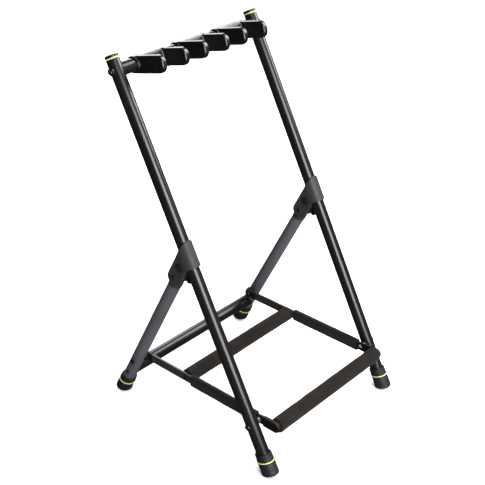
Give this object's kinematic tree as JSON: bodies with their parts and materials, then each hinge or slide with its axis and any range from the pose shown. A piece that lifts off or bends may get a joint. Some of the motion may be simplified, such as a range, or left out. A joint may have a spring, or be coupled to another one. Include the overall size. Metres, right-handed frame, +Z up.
{
  "type": "guitar rack",
  "caption": "Folding floor rack that stands guitars side by side: a leaning front frame with neck yokes, a padded tray at its foot and hinged rear legs.",
  "frame": {"origin": "on the floor, midway between the feet", "axes": "+Z up, +Y from the front feet to the rear feet, +X to the right seen from the front"},
  "size_m": [0.3912, 0.4234, 0.7205],
  "materials": {
    "black_paint": "satin",
    "grey_paint": "satin",
    "grey_moulding": "matte",
    "yoke_rubber": "satin",
    "foot_rubber": "matte",
    "lime_plastic": "satin",
    "foam": "matte",
    "steel": "satin"
  },
  "bodies": {
    "front_frame": {"upright_left": "black_paint", "upright_right": "black_paint", "top_crossbar": "black_paint", "top_cap_left": "yoke_rubber", "top_cap_right": "yoke_rubber", "top_ring_left": "lime_plastic", "top_ring_right": "lime_plastic", "front_foot_left": "foot_rubber", "front_foot_right": "foot_rubber", "front_foot_left_ring": "lime_plastic", "front_foot_right_ring": "lime_plastic", "hinge_bracket_left": "grey_moulding", "hinge_bracket_right": "grey_moulding", "bracket_bolt_left": "grey_moulding", "bracket_bolt_right": "grey_moulding", "hinge_pin_left": "steel", "hinge_pin_right": "steel", "crossbar_washer_left": "black_paint", "crossbar_washer_right": "black_paint", "crossbar_screw_left": "steel", "crossbar_screw_right": "steel", "tray_bolt_left": "steel", "tray_bolt_right": "steel", "tray_spacer_left": "steel", "tray_spacer_right": "steel", "tray_nut_left": "steel", "tray_nut_right": "steel"},
    "rear_frame": {"rear_leg_left": "grey_paint", "rear_leg_right": "grey_paint", "leg_hinge_end_left": "grey_moulding", "leg_hinge_end_right": "grey_moulding", "rear_crossbar": "black_paint", "rear_bar_screw_left": "steel", "rear_bar_screw_right": "steel", "rear_foot_left": "foot_rubber", "rear_foot_right": "foot_rubber", "rear_foot_left_ring": "lime_plastic", "rear_foot_right_ring": "lime_plastic", "rest_stud_left": "steel", "rest_stud_right": "steel", "stud_disc_left": "yoke_rubber", "stud_disc_right": "yoke_rubber"},
    "tray": {"tray_arm_left": "grey_paint", "tray_arm_right": "grey_paint", "front_bar_tube": "black_paint", "middle_bar_tube": "black_paint", "front_bar_foam": "foam", "middle_bar_foam": "foam", "side_foam_left": "foam", "side_foam_right": "foam", "corner_boot_left": "yoke_rubber", "corner_boot_right": "yoke_rubber", "middle_bar_screw_left": "steel", "middle_bar_screw_right": "steel"},
    "yoke_left": {"neck_yoke_left": "yoke_rubber"},
    "yoke_middle": {"neck_yoke_middle": "yoke_rubber"},
    "yoke_right": {"neck_yoke_right": "yoke_rubber"},
    "button_left": {"lock_button_left": "yoke_rubber"},
    "button_right": {"lock_button_right": "yoke_rubber"}
  },
  "joints": [
    {"name": "rear_fold", "type": "hinge", "parent": "front_frame", "child": "rear_frame", "pos_m": [0, 0.02356, 0.33711], "axis": [-1, 0, 0], "range_deg": [0, 55.2]},
    {"name": "tray_fold", "type": "hinge", "parent": "front_frame", "child": "tray", "pos_m": [0, -0.15275, 0.09], "axis": [1, 0, 0], "range_deg": [0, 62.4]},
    {"name": "yoke_left_slide", "type": "slide", "parent": "front_frame", "child": "yoke_left", "axis": [1, 0, 0], "range_m": [-0.012, 0.012]},
    {"name": "yoke_middle_slide", "type": "slide", "parent": "front_frame", "child": "yoke_middle", "axis": [1, 0, 0], "range_m": [-0.012, 0.012]},
    {"name": "yoke_right_slide", "type": "slide", "parent": "front_frame", "child": "yoke_right", "axis": [1, 0, 0], "range_m": [-0.012, 0.012]},
    {"name": "button_left_press", "type": "slide", "parent": "front_frame", "child": "button_left", "axis": [0, 0.4633, 0.8862], "range_m": [0, 0.003], "stiffness_N_per_m": 500, "springref_m": -0.002},
    {"name": "button_right_press", "type": "slide", "parent": "front_frame", "child": "button_right", "axis": [0, 0.4633, 0.8862], "range_m": [0, 0.003], "stiffness_N_per_m": 500, "springref_m": -0.002}
  ],
  "couplings": [
    {"joint": "tray_fold", "follows": "rear_fold", "ratio": 1.1304}
  ]
}
